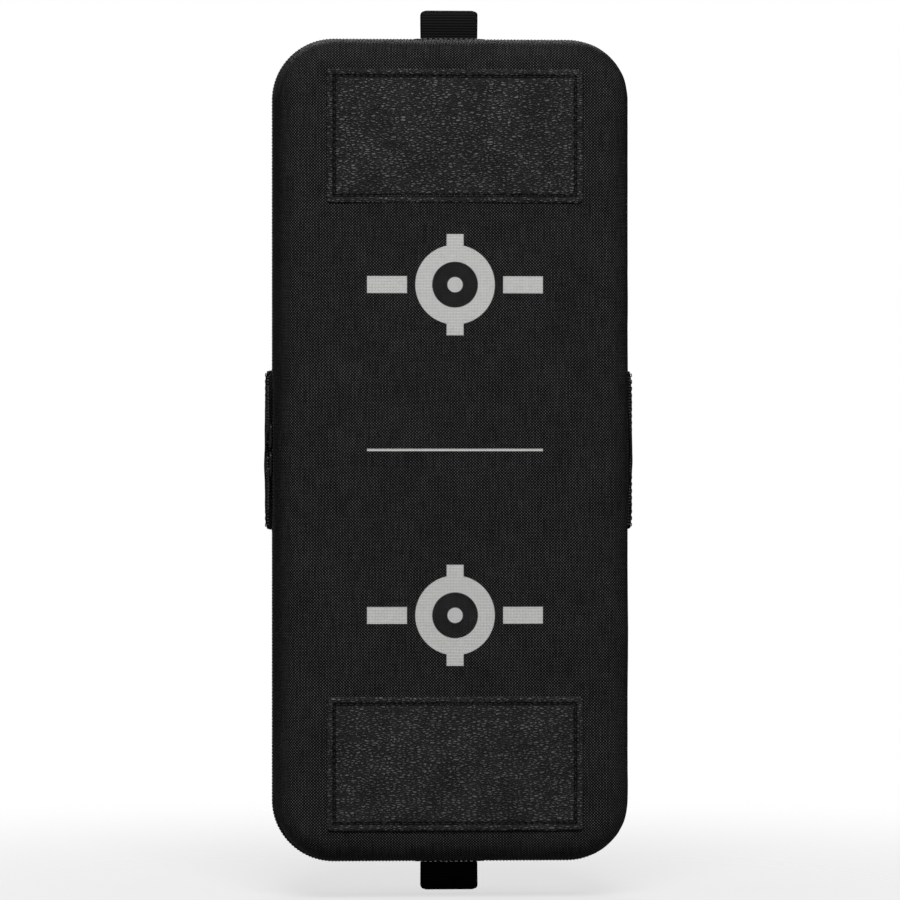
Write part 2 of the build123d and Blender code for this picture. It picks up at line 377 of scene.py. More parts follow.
class Graph:
    """Builds one node material from short calls."""

    def __init__(self, name, **sockets):
        self.material = bpy.data.materials.new(name)
        self.material.use_nodes = True
        self.tree = self.material.node_tree
        self.shader = self.tree.nodes["Principled BSDF"]
        for socket, value in sockets.items():
            self.put(self.shader.inputs[socket.replace("_", " ")], value)

    def put(self, socket, value):
        if isinstance(value, bpy.types.NodeSocket):
            self.tree.links.new(value, socket)
        elif isinstance(value, tuple) and len(value) == 3 and socket.type == "RGBA":
            socket.default_value = (*value, 1)
        else:
            socket.default_value = value

    def fill(self, sockets, *values):
        for socket, value in zip(sockets, values):
            self.put(socket, value)

    def node(self, kind, **inputs):
        """A shader node with its named inputs set or linked."""
        node = self.tree.nodes.new("ShaderNode" + kind)
        for socket, value in inputs.items():
            self.put(node.inputs[socket], value)
        return node

    def math(self, operation, *values):
        node = self.node("Math")
        node.operation = operation
        self.fill(node.inputs, *values)
        return node.outputs[0]

    def place(self, name=None, stretch=(1, 1, 1)):
        """A named vertex vector, or the point in the row frame, in millimetres."""
        if name:
            node = self.node("Attribute")
            node.attribute_name = name
            source = node.outputs["Vector"]
        else:
            source = self.node("TexCoord").outputs["Object"]
        scale = self.node("VectorMath")
        scale.operation = "MULTIPLY"
        self.fill(scale.inputs, source, tuple(s / MM for s in stretch))
        return scale.outputs[0]

    def split(self, vector):
        return tuple(self.node("SeparateXYZ", Vector=vector).outputs)

    def noise(self, vector, size, detail=2.0, roughness=0.5, distortion=0.0):
        shape = {"Detail": detail, "Roughness": roughness, "Distortion": distortion}
        return self.node("TexNoise", Vector=vector, Scale=1 / size, **shape).outputs["Fac"]

    def cells(self, vector, size, feature="DISTANCE_TO_EDGE"):
        node = self.node("TexVoronoi", Vector=vector, Scale=1 / size)
        node.feature = feature
        return node.outputs["Distance"]

    def fit(self, value, low, high, to_low=0.0, to_high=1.0, smooth=False):
        node = self.node("MapRange")
        node.interpolation_type = "SMOOTHSTEP" if smooth else "LINEAR"
        self.fill(node.inputs, value, low, high, to_low, to_high)
        return node.outputs[0]

    def mix(self, share, first, second):
        node = self.node("Mix")
        node.data_type = "RGBA"
        self.put(node.inputs["Factor"], share)
        colours = [socket for socket in node.inputs if socket.type == "RGBA"]
        self.fill(colours, first, second)
        return next(socket for socket in node.outputs if socket.type == "RGBA")

    def vary(self, noise_value, to_low=0.0, to_high=1.0):
        """A noise's usual range brought to the two given values."""
        return self.fit(noise_value, 0.3, 0.7, to_low, to_high)

    def times(self, product, *others):
        for other in others:
            product = self.math("MULTIPLY", product, other)
        return product

    def apart(self, first, second):
        """How far the first value is from the second."""
        return self.math("ABSOLUTE", self.math("SUBTRACT", first, second))

    def wave(self, value, period):
        """Up from a half to 1, down to 0 and back, once in each period."""
        turn = self.math("SINE", self.times(value, 2 * math.pi / period))
        return self.math("MULTIPLY_ADD", turn, 0.5, 0.5)

    def surface(self, colour, roughness):
        self.put(self.shader.inputs["Base Color"], colour)
        self.put(self.shader.inputs["Roughness"], roughness)

    def bump(self, height, depth, strength=1.0):
        """Stacks a bump whose height of 1 is depth millimetres."""
        node = self.node("Bump", Strength=strength, Distance=depth * MM, Height=height)
        earlier = self.shader.inputs["Normal"]
        if earlier.is_linked:
            self.put(node.inputs["Normal"], earlier.links[0].from_socket)
        self.put(earlier, node.outputs[0])

    def weave(self, u, v, pitch):
        """Height of a plain weave from 0 to 1, and 1 where the crosswise thread is on top."""
        u, v = self.math("DIVIDE", u, pitch), self.math("DIVIDE", v, pitch)
        cell = self.math("ADD", self.math("FLOOR", u), self.math("FLOOR", v))
        cross = self.math("FLOORED_MODULO", cell, 2.0)
        waves = (self.math("SINE", self.times(c, math.pi)) for c in (u, v))
        hump_u, hump_v = (self.math("ABSOLUTE", wave) for wave in waves)
        lengthwise = self.times(hump_u, self.math("MULTIPLY_ADD", hump_v, 0.5, 0.5))
        crosswise = self.times(hump_v, self.math("MULTIPLY_ADD", hump_u, 0.5, 0.5))
        gap = self.math("SUBTRACT", crosswise, lengthwise)
        return self.math("MULTIPLY_ADD", gap, cross, lengthwise), cross


def within(g, value, limit):
    """1 where value is under limit, in millimetres, with a soft edge."""
    return g.fit(value, limit - PRINT_BLUR, limit + PRINT_BLUR, 1.0, 0.0)


def printed_marks(g, point):
    """Mask of the printed aiming marks: ring, dot and four ticks, twice, and a middle line."""
    u, v, _ = g.split(point)
    side, up = g.math("ABSOLUTE", u), g.math("ABSOLUTE", v)
    off = g.apart(up, MARK_CENTRE)
    reach = g.math("SQRT", g.math("MULTIPLY_ADD", off, off, g.times(u, u)))
    from_ring = g.apart(reach, MARK_RING)

    def bar(long_way, middle, half_long, cross_way, half_cross):
        along = g.apart(long_way, middle)
        ends, sides = within(g, along, half_long), within(g, cross_way, half_cross)
        return g.math("MINIMUM", ends, sides)

    mask = within(g, from_ring, INK_HALF)
    for part in (
        within(g, reach, MARK_DOT),
        bar(side, *SIDE_TICK, off, INK_HALF),
        bar(off, *END_TICK, side, INK_HALF),
        bar(side, 0.0, MIDDLE_LINE_HALF[0], up, MIDDLE_LINE_HALF[1]),
    ):
        mask = g.math("MAXIMUM", mask, part)
    return mask


def ballistic_fabric(name, marks=False):
    """Coarse black woven polyester, its weave coloured with a painted highlight on the thread tops
    and painted shade in the gaps, with the printed marks if asked.
    """
    g = Graph(name, Specular_IOR_Level=0.03)
    point = g.place("weave")
    u, v, _ = g.split(point)
    height, cross = g.weave(u, v, THREAD_PITCH / MM)
    # Colour follows the weave's height: painted highlight on the thread tops, painted shade in the
    # gaps and on the sunken crosswise threads; the noises vary the tone at random.
    tone_and_painted_weave_shade = g.times(
        g.math("POWER", height, 2.4),
        g.math("MULTIPLY_ADD", cross, -0.93, 1.0),
        g.vary(g.noise(point, 0.45, 2.0, 0.6), 0.6, 1.35),
        g.vary(g.noise(g.place("weave", stretch=(1, 0.06, 1)), 0.9), 0.62, 1.3),
        g.vary(g.noise(g.place("weave", stretch=(0.06, 1, 1)), 0.9), 0.72, 1.2),
        g.fit(g.noise(point, 30.0, 3.0), 0.35, 0.65, 0.88, 1.1),
    )
    cloth = g.mix(tone_and_painted_weave_shade, (0.0003, 0.0003, 0.0004), (0.155, 0.155, 0.16))
    rough = g.fit(height, 0.0, 1.0, 0.9, 0.42)
    if marks:
        # The ink is darker where the weave sinks: painted shade in the gaps.
        ink_gap_shade = g.fit(height, 0.02, 0.5, 0.55, 1.0)
        thin = g.fit(g.noise(point, 4.0, 4.0, 0.7), 0.35, 0.6, 0.93, 1.0)
        ink = g.mix(g.times(ink_gap_shade, thin), (0.10, 0.10, 0.10), (0.80, 0.80, 0.79))
        mask = printed_marks(g, point)
        cloth = g.mix(mask, cloth, ink)
        rough = g.math("MULTIPLY_ADD", mask, -0.18, rough)
    g.surface(cloth, rough)
    g.bump(height, 0.3, 0.9)
    return g.material


def synthetic_leather():
    """Black leather whose grain runs across, with painted shade in the grain's hollows and along
    the stitch groove. The relief vector's x is the inset from the edge.
    """
    g = Graph("synthetic_leather", Specular_IOR_Level=0.16)
    point = g.place("weave", stretch=(0.45, 1.15, 1))
    fine = g.place("weave")
    drift = g.node("TexNoise", Vector=fine, Scale=0.35, Detail=3.0)
    warp = g.node("VectorMath")
    warp.operation = "MULTIPLY_ADD"
    g.fill(warp.inputs, drift.outputs["Color"], (2.0, 2.0, 2.0), point)
    pebble = g.fit(g.cells(warp.outputs[0], 1.5), 0.0, 0.34, smooth=True)
    crease = g.noise(point, 3.2, 3.0, 0.6, 0.6)
    height = g.math("ADD", g.times(pebble, 0.9), g.times(crease, 0.5))
    inset, _, _ = g.split(g.place("relief"))
    from_stitch = g.apart(inset, PANEL_STITCH / MM)
    shade = g.times(
        # Grain hollows darker than the pebble tops: painted shade.
        g.math("POWER", g.fit(height, 0.3, 1.2, 0.22, 1.0), 1.3),
        g.vary(g.noise(fine, 22.0), 0.7, 1.2),
        # Dark band along the stitch line: painted shade in the stitch groove.
        g.fit(from_stitch, 0.4, 1.5, 0.12, 1.0, smooth=True),
    )
    colour = g.mix(shade, (0.0005, 0.0005, 0.0006), (0.122, 0.122, 0.127))
    g.surface(colour, g.fit(height, 0.3, 1.2, 0.75, 0.40))
    g.bump(height, 1.5)
    g.bump(g.noise(fine, 0.22, 2.0, 0.6), 0.03, 0.4)
    return g.material


def moulded_rubber():
    """Satin black rubber, polished on its crests, which are lightened as a painted highlight, and
    with painted shade on the stitch groove's floor. The relief vector's x is the height.
    """
    g = Graph("moulded_rubber", Specular_IOR_Level=0.33)
    point = g.place()
    tall, _, _ = g.split(g.place("relief"))
    crest_polish_and_painted_highlight = g.fit(tall, 5.4, 7.3, smooth=True)
    dust = g.fit(g.noise(point, 2.2, 5.0, 0.7), 0.45, 0.75)
    groove = g.times(g.fit(tall, 0.4, 0.8), g.fit(tall, 2.2, 3.0, 1.0, 0.0))
    # Rib crests lightened: a painted highlight; their lower roughness below is real polish.
    base = g.mix(crest_polish_and_painted_highlight, (0.0010, 0.0010, 0.0012), (0.065, 0.065, 0.067))
    base = g.mix(g.times(dust, 0.12), base, (0.020, 0.0195, 0.019))
    # The stitch groove's floor is painted near black: painted shade.
    base = g.mix(groove, base, (0.0002, 0.0002, 0.0002))
    rough = g.vary(g.noise(point, 9.0, 4.0, 0.6), 0.40, 0.50)
    g.surface(base, g.math("MULTIPLY_ADD", crest_polish_and_painted_highlight, -0.06, rough))
    g.bump(g.noise(point, 0.30, 3.0, 0.6), 0.04, 0.7)
    return g.material


def ribbed_webbing():
    """Polyester webbing. The weave vector's x runs across it and y along it."""
    g = Graph("ribbed_webbing", Specular_IOR_Level=0.1)
    u, v, _ = g.split(g.place("weave"))
    height, _ = g.weave(u, v, 0.62)
    rib = g.wave(v, WEBBING_RIB / MM)
    # Colour follows the weave and the ribs: painted highlight on the rib tops, painted shade in the
    # valleys; the noise varies the tone at random.
    tone_and_painted_weave_shade = g.times(
        g.math("MULTIPLY_ADD", height, 0.5, 0.3),
        g.math("MULTIPLY_ADD", rib, 0.7, 0.35),
        g.vary(g.noise(g.place("weave", stretch=(1, 4, 1)), 0.5), 0.75, 1.25),
    )
    colour = g.mix(tone_and_painted_weave_shade, (0.0008, 0.0008, 0.0009), (0.017, 0.017, 0.018))
    g.surface(colour, g.fit(rib, 0.0, 1.0, 0.85, 0.6))
    g.bump(rib, 0.22, 0.8)
    g.bump(height, 0.12, 0.7)
    return g.material


def solid_cloth(name, pitch, dark, light, depth):
    """Woven or knitted cloth on a CAD piece, read from its place in the row frame."""
    g = Graph(name, Specular_IOR_Level=0.08)
    point = g.place()
    x, y, z = g.split(point)
    height, _ = g.weave(g.math("ADD", x, y), g.math("MULTIPLY_ADD", y, 0.5, z), pitch)
    fibre, wander = g.noise(point, pitch * 0.6), g.noise(point, 15.0)
    # Colour follows the weave's height: painted highlight on the thread tops, painted shade in the
    # gaps; the noises vary the tone at random.
    tone_and_painted_weave_shade = g.times(height, g.vary(fibre, 0.7, 1.2), g.vary(wander, 0.85, 1.1))
    g.surface(g.mix(tone_and_painted_weave_shade, dark, light), g.fit(height, 0.0, 1.0, 0.92, 0.66))
    g.bump(height, depth, 0.8)
    return g.material


def coil_nylon():
    """Black nylon monofilament, scuffed by the sliders."""
    g = Graph("coil_nylon", Specular_IOR_Level=0.5)
    point = g.place()
    tone = g.vary(g.noise(point, 4.0, 3.0))
    scuff = g.noise(point, 0.4, 3.0, 0.7)
    g.surface(g.mix(tone, (0.010, 0.010, 0.011), (0.026, 0.026, 0.028)), g.vary(scuff, 0.30, 0.5))
    g.bump(scuff, 0.03, 0.5)
    return g.material


def enamelled_zinc():
    """Black enamel with small chips down to the zinc."""
    g = Graph("enamelled_zinc", Coat_Weight=0.25)
    point = g.place()
    chips = g.fit(g.noise(point, 1.1, 5.0, 0.75), 0.66, 0.70)
    haze = g.vary(g.noise(point, 3.0, 3.0), 0.24, 0.42)
    g.surface(g.mix(chips, (0.016, 0.016, 0.017), (0.36, 0.35, 0.34)), haze)
    g.put(g.shader.inputs["Metallic"], chips)
    g.bump(g.noise(point, 0.6, 3.0), 0.02, 0.5)
    return g.material


def pull_rubber():
    """Moulded cover of a zip pull, with cross ridges from its own weave vector."""
    g = Graph("pull_rubber", Specular_IOR_Level=0.4)
    point = g.place("weave")
    ridge = g.wave(g.split(point)[0], 2.4)
    grain = g.noise(point, 0.3, 3.0)
    # Colour follows the ridges: painted shade in the troughs between them.
    g.surface(g.mix(ridge, (0.009, 0.009, 0.010), (0.022, 0.022, 0.023)), g.vary(grain, 0.5, 0.66))
    g.bump(ridge, 0.35, 0.8)
    g.bump(grain, 0.03, 0.5)
    return g.material


def foam(name, pore, dark, light):
    """Foam with pores of the given size in millimetres."""
    g = Graph(name, Specular_IOR_Level=0.2, Subsurface_Weight=0.05)
    point = g.place()
    cell = g.fit(g.cells(point, pore, "F1"), 0.15, 0.75)
    coarse = g.noise(point, 12.0, 4.0)
    # Pores darker than the cell walls: painted shade; the coarse noise varies the tone at random.
    shade = g.times(cell, g.vary(coarse, 0.8, 1.1))
    g.surface(g.mix(shade, dark, light), g.vary(coarse, 0.85, 0.97))
    g.bump(cell, pore * 0.5, 0.7)
    return g.material


def sheet_plastic():
    """Grey extruded board."""
    g = Graph("sheet_plastic", Specular_IOR_Level=0.4)
    grain = g.noise(g.place(), 0.8, 4.0, 0.7)
    g.surface(g.mix(grain, (0.12, 0.12, 0.125), (0.24, 0.24, 0.245)), g.vary(grain, 0.45, 0.65))
    g.bump(grain, 0.08, 0.6)
    return g.material


def sewing_thread():
    """Twisted polyester thread. The weave vector's x runs along each stitch."""
    g = Graph("sewing_thread", Specular_IOR_Level=0.3)
    u, v, _ = g.split(g.place("weave"))
    ply = g.wave(g.math("ADD", u, v), 0.7)
    # Colour follows the ply wave: painted shade in the twist's grooves.
    colour = g.mix(ply, (0.006, 0.006, 0.0065), (0.034, 0.034, 0.036))
    g.surface(colour, g.fit(ply, 0.0, 1.0, 0.75, 0.5))
    g.bump(ply, 0.12, 0.8)
    return g.material


def studio_floor():
    """Thin pale sheet that fades into the backdrop away from the object."""
    g = Graph("studio_floor", Specular_IOR_Level=0.05)
    point = g.place()
    x, y, _ = g.split(point)
    tone = g.noise(point, 400.0, 3.0)
    g.surface(g.mix(tone, (0.78, 0.78, 0.78), (0.82, 0.82, 0.82)), g.vary(tone, 0.8, 0.9))
    away = g.math("SQRT", g.math("MULTIPLY_ADD", x, x, g.times(y, y)))
    g.put(g.shader.inputs["Alpha"], g.fit(away, 120.0, 900.0, 0.35, 0.0, smooth=True))
    return g.material


FRONT_FABRIC = ballistic_fabric("front_ballistic_fabric", marks=True)
FABRIC = ballistic_fabric("ballistic_fabric")
LEATHER = synthetic_leather()
RUBBER = moulded_rubber()
WEBBING = ribbed_webbing()
THREAD = sewing_thread()
COIL = coil_nylon()
METAL = enamelled_zinc()
PULL_COVER = pull_rubber()
PIPING = solid_cloth("corded_piping", 0.55, (0.005, 0.005, 0.0055), (0.044, 0.044, 0.047), 0.12)
TAPE = solid_cloth("knitted_tape", 0.8, (0.003, 0.003, 0.0033), (0.026, 0.026, 0.028), 0.15)
BINDING = solid_cloth("binding_webbing", 0.9, (0.004, 0.004, 0.0045), (0.034, 0.034, 0.036), 0.2)
LINING = solid_cloth("lining_cloth", 0.5, (0.02, 0.02, 0.022), (0.11, 0.11, 0.115), 0.1)
SOFT_FOAM = foam("open_cell_foam", 1.3, (0.10, 0.10, 0.107), (0.32, 0.32, 0.33))
DENSE_FOAM = foam("closed_cell_foam", 0.7, (0.05, 0.05, 0.054), (0.14, 0.14, 0.145))
BOARD = sheet_plastic()


# --- fabric halves


def unfold(points, side, face, draft):
    """Where each point of a half's skin lies on the flat cloth it was moulded from."""
    height = (points[:, 1] - ZIP_Y) * side
    flat = np.stack([points[:, 0], points[:, 2] - BODY_Z], 1)
    core = np.array([HALF_WIDTH - CORNER_R, HALF_LENGTH - CORNER_R])
    near = np.clip(flat, -core, core)
    reach = np.linalg.norm(flat - near, axis=1)
    way = (flat - near) / np.maximum(reach, 1e-9)[:, None]
    lean = (face - RIM) * math.tan(draft)
    bend_at = CORNER_R - lean - EDGE_R
    turn = np.arctan2(reach - bend_at, height - (face - EDGE_R))
    turn = np.clip(turn, 0, math.pi / 2)
    bent = bend_at + EDGE_R * turn + np.clip(face - EDGE_R - height, 0, None)
    spread = np.where(reach > bend_at, bent, reach)
    return np.column_stack([near + way * spread[:, None], np.zeros(len(points))])


def half_skin(half, side, face, draft, material, cap, seed):
    """Fabric skin of one half: lofted, remeshed, simulated with its rim held, then opened below."""
    lean = math.tan(draft)
    profile = [(0.6 * MM, RIM), (0, RIM + 0.8 * MM)]
    wall_top = face - EDGE_R
    for height in np.linspace(RIM + 4 * MM, wall_top, 8):
        profile.append(((height - RIM) * lean, height))
    for angle in np.linspace(0, math.pi / 2, 8)[1:]:
        inset = (wall_top - RIM) * lean + EDGE_R * (1 - math.cos(angle))
        profile.append((inset, wall_top + EDGE_R * math.sin(angle)))
    points, faces = slab(HALF_WIDTH, HALF_LENGTH, CORNER_R, profile, 4 * MM)
    shape = (in_half(points, side), faces)
    skin = build(half + "_fabric_skin", shape, material, flip=side == BACK)
    remesh(skin, 4.5 * MM)
    at = coordinates(skin)
    height = (at[:, 1] - ZIP_Y) * side
    held = height < RIM + 5 * MM
    on_face = np.clip((height - (wall_top - 4 * MM)) / (8 * MM), 0.12, 1)
    blow_up(skin, 4.0, held, cap, share=on_face)
    open_below(skin, side)
    subdivide(skin)
    rumple(skin, 0.055, 0.35 * MM, seed)
    rumple(skin, 0.013, 0.10 * MM, seed + 3)
    add_vector(skin, "weave", unfold(coordinates(skin), side, face, draft))
    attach(skin, half + "_half")
    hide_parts(half + "_shell")


def open_below(skin, side):
    """Takes away the floor of a half's skin, inside the thickness of its wall."""
    at = coordinates(skin)
    inset = rounded_inset(at[:, 0], at[:, 2] - BODY_Z, HALF_WIDTH, HALF_LENGTH, CORNER_R)
    floor = ((at[:, 1] - ZIP_Y) * side < RIM + 2.5 * MM) & (inset > 6 * MM)
    mesh = skin.data
    kept = [list(p.vertices) for p in mesh.polygons if not all(floor[i] for i in p.vertices)]
    material = mesh.materials[0]
    used = sorted({i for face in kept for i in face})
    order = {old: new for new, old in enumerate(used)}
    opened = bpy.data.meshes.new(mesh.name)
    faces = [[order[i] for i in face] for face in kept]
    opened.from_pydata([tuple(at[i]) for i in used], [], faces)
    opened.update()
    opened.shade_smooth()
    opened.materials.append(material)
    skin.vertex_groups.clear()
    skin.data = opened
    bpy.data.meshes.remove(mesh)


half_skin("front", FRONT, FRONT_FACE, FRONT_DRAFT, FRONT_FABRIC, cap=1.5 * MM, seed=2.1)
half_skin("back", BACK, BACK_FACE, BACK_DRAFT, FABRIC, cap=1.2 * MM, seed=7.7)


# --- stitches

STITCH_DIP = 0.5 * MM


def stitch_template(length, radius):
    """One stitch along its first axis, its ends diving along the third."""
    steps = np.linspace(-1, 1, 7)
    centres = np.stack([steps * length / 2, steps * 0, -STITCH_DIP * steps**4], 1)
    size = radius * np.sqrt(np.clip(1.05 - steps**6, 0.1, 1))
    return tube(centres, size, (0, 1, 0), sides=6)


def stitches(name, lines, body, length, radius=0.34 * MM):
    """Stitches at each (origin, along, out) of the lines, as one object."""
    origins, along, out = (np.array(column) for column in zip(*lines))
    axes = np.stack([along, np.cross(out, along), out], 1)
    template = stitch_template(length, radius)
    obj = build(name, scatter(template, origins, axes), THREAD)
    add_vector(obj, "weave", np.tile(template[0], (len(lines), 1)))
    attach(obj, body)


def stitched_outline(half_width, half_length, radius, pitch, centre, side, height):
    """Stitch places round a rounded rectangle that lies on a half's face."""
    edge, out = even_places(pitch, half_width, half_length, radius)
    places = in_half(at_height(edge + centre, height), side)
    way = np.stack([-out[:, 1], np.zeros(len(out)), out[:, 0]], 1)
    normal = np.tile([0.0, side, 0.0], (len(out), 1))
    return list(zip(places, way, normal))


# --- strike panels

PANEL_CORNER = 3 * MM


def panel_height(u, v, inset):
    """Turned edge, stitch line and flat top of a leather panel before it is blown up."""
    edge = np.clip(inset / (1.9 * MM), 0, 1)
    roll = np.sqrt(np.clip(1 - (1 - edge) ** 2, 0, 1)) * 2.7 * MM
    groove = np.exp(-(((inset - PANEL_STITCH) / (1.15 * MM)) ** 2)) * 1.75 * MM
    return roll - groove


def strike_panel(where, seed):
    """Leather over its padding, held along its stitch line and blown up inside it."""
    node = where + "_strike_panel"
    half_width, half_length, middle = face_of(node)
    sizes = (half_width, half_length)
    across, along = (spaced(size, 8 * MM, 0.55 * MM, 1.5 * MM) for size in sizes)
    outline = (*sizes, PANEL_CORNER)
    points, faces = relief(across, along, *outline, panel_height)
    inset = rounded_inset(points[:, 0], points[:, 1], *outline)
    flat = points.copy()
    flat[:, 2] = 0
    points[:, :2] += middle
    points[:, 2] += FRONT_FACE
    panel = build(where + "_panel_leather", (in_half(points, FRONT), faces), LEATHER)
    blow_up(panel, 5.0, inset < PANEL_STITCH + 0.6 * MM, 1.3 * MM)
    rumple(panel, 0.016, 0.22 * MM, seed)
    add_vector(panel, "weave", flat + [0, seed * MM * 40, 0])
    add_vector(panel, "relief", np.column_stack([inset, 0 * inset, 0 * inset]))
    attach(panel, "front_half")
    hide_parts(node, where + "_panel_padding")
    lines = stitched_outline(
        half_width - PANEL_STITCH, half_length - PANEL_STITCH, 2 * MM, 4.3 * MM,
        middle, FRONT, FRONT_FACE + 1.35 * MM,
    )
    name = where + "_panel_stitching"
    stitches(name, lines, "front_half", length=3.3 * MM)


strike_panel("upper", 1.3)
strike_panel("lower", 4.9)


# --- grip pads

PAD_RIB_PITCH, PAD_RIB_COUNT = 16 * MM, 5
PAD_RIB_HALF = (22.5 * MM, 5.8 * MM)
PAD_BASE, PAD_RIM_HIGH, PAD_DECK_HIGH, PAD_RIB_HIGH = 2.0 * MM, 3.6 * MM, 3.8 * MM, 7.4 * MM
PAD_GROOVE = 4.0 * MM
PAD_CORNER = 4 * MM
PAD_BORDER, PAD_FINE_STEP, PAD_STEP = 7 * MM, 0.45 * MM, 0.7 * MM


def ease(value):
    """Smooth step from 0 to 1."""
    value = np.clip(value, 0, 1)
    return value * value * (3 - 2 * value)


def pad_height(u, v, inset):
    """Outer rim, stitch groove, deck and bevelled ribs of a rubber grip pad."""
    rim_up = np.sqrt(np.clip(1 - (1 - np.clip(inset / (1.0 * MM), 0, 1)) ** 2, 0, 1))
    rim = PAD_RIM_HIGH * rim_up - (PAD_RIM_HIGH - PAD_BASE) * ease((inset - 1.9 * MM) / (0.9 * MM))
    deck = (PAD_DECK_HIGH - PAD_BASE) * ease((inset - 4.9 * MM) / (0.8 * MM))
    height = rim + deck
    for index in range(PAD_RIB_COUNT):
        shift = v - (index - (PAD_RIB_COUNT - 1) / 2) * PAD_RIB_PITCH
        run = np.minimum(PAD_RIB_HALF[0] - np.abs(u), PAD_RIB_HALF[1] - np.abs(shift))
        climb = np.clip(run / (3.0 * MM), 0, 1.25)
        climb = np.where(climb > 0.8, 0.8 + 0.2 * np.sin((climb - 0.8) / 0.45 * math.pi / 2), climb)
        foot = ease(climb / 0.3) * climb
        rib = PAD_DECK_HIGH + (PAD_RIB_HIGH - PAD_DECK_HIGH) * foot
        height = np.where(run > 0, rib, height)
    return height


def grip_pad(level, edge):
    """Moulded rubber pad and the stitches in its groove."""
    node = f"{level}_grip_pad_{edge}_side"
    half_width, half_length, middle = face_of(node)
    across = spaced(half_width, 10 * MM, PAD_FINE_STEP, 1.4 * MM)
    border = np.arange(0, PAD_BORDER, PAD_FINE_STEP)
    ribs = np.arange(PAD_BORDER, 2 * half_length - PAD_BORDER, PAD_STEP)
    along = np.concatenate([border, ribs, 2 * half_length - border[::-1]]) - half_length
    points, faces = relief(across, along, half_width, half_length, PAD_CORNER, pad_height)
    heights = points[:, 2].copy()
    points[:, :2] += middle
    points[:, 2] += BACK_FACE
    name = f"{level}_rubber_pad_{edge}_side"
    pad = build(name, (in_half(points, BACK), faces), RUBBER, flip=True)
    add_vector(pad, "relief", np.column_stack([heights, heights, heights]))
    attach(pad, "back_half")
    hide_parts(node)
    lines = stitched_outline(
        half_width - PAD_GROOVE, half_length - PAD_GROOVE, 1.5 * MM, 6.1 * MM,
        middle, BACK, BACK_FACE + 2.45 * MM,
    )
    name = f"{level}_pad_stitching_{edge}_side"
    stitches(name, lines, "back_half", length=4.2 * MM, radius=0.42 * MM)


for level_name in ("upper", "lower"):
    for edge_name in ("zip", "hinge"):
        grip_pad(level_name, edge_name)


# --- zip, piping and spine


def along_outline(distance, inset, height, side):
    """Points, and outward and forward directions, on the body's outline in the row frame."""
    edge, out = outline_at(distance, HALF_WIDTH, HALF_LENGTH, CORNER_R)
    places = in_half(at_height(edge - out * inset, height), side)
    outward = np.stack([out[:, 0], np.zeros(len(out)), out[:, 1]], 1)
    forward = np.stack([-out[:, 1], np.zeros(len(out)), out[:, 0]], 1)
    return places, outward, forward


OUTLINE_LENGTH = 4 * quarter_length(HALF_WIDTH, HALF_LENGTH, CORNER_R)
ZIP_END_ANGLE = math.acos((ZIP_END_X - HALF_WIDTH + CORNER_R) / CORNER_R)
HINGE_ARC = HALF_LENGTH - CORNER_R + CORNER_R * ZIP_END_ANGLE
SPINE_ROWS = 49
SPINE_WALL, SPINE_THICKNESS = 5.3 * MM, 0.8 * MM
CORD_INSET, CORD_RADIUS = 0.9 * MM, 1.2 * MM


def zip_teeth(half, side, shift):
    """The coil's turns on one half. Those of the other half lie between them."""
    path = np.array([
        (0.35, 5.0, -0.25), (0.25, 4.2, 0.30), (0.12, 2.4, 0.42), (0.0, 0.5, 0.36),
        (0.0, -0.55, 0.1), (0.0, -0.85, -0.55), (0.0, -0.4, -1.15), (-0.1, 1.2, -1.4),
        (-0.3, 4.6, -1.4),
    ]) * MM
    radius = np.array([0.5, 0.56, 0.56, 0.56, 0.66, 0.72, 0.62, 0.5, 0.45]) * MM
    tooth = tube(path, radius, (1, 0, 0), sides=7)
    start, end = HINGE_ARC + 2 * MM, OUTLINE_LENGTH - HINGE_ARC - 2 * MM
    distance = np.arange(start, end, TOOTH_PITCH) + shift * TOOTH_PITCH
    places, outward, forward = along_outline(distance, -0.1 * MM, 0, side)
    height_way = np.tile([0.0, side, 0.0], (len(places), 1))
    axes = np.stack([forward, height_way, outward], 1)
    shape = scatter(tooth, places, axes)
    teeth = build(half + "_zip_teeth", shape, COIL, flip=side == BACK)
    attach(teeth, half + "_half")
    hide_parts(half + "_zip_coil")


zip_teeth("front", FRONT, 0.0)
zip_teeth("back", BACK, 0.5)


def rim_piping(half, side):
    """Cord in a fabric tube, sewn round the rim."""
    node = half + "_rim_piping"
    low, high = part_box(node)
    middle = abs((low.y + high.y) / 2 - ZIP_Y)
    distance = np.arange(0, OUTLINE_LENGTH, 1.1 * MM)
    centres, _, _ = along_outline(distance, CORD_INSET, middle, side)
    swell = [0.06 * MM * noise.noise(Vector(p) * 160) for p in centres]
    cord = tube(centres, CORD_RADIUS + np.array(swell), (0, 1, 0), sides=10, closed=True)
    piping = build(half + "_rim_cord", cord, PIPING)
    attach(piping, half + "_half")
    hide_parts(node)


rim_piping("front", FRONT)
rim_piping("back", BACK)


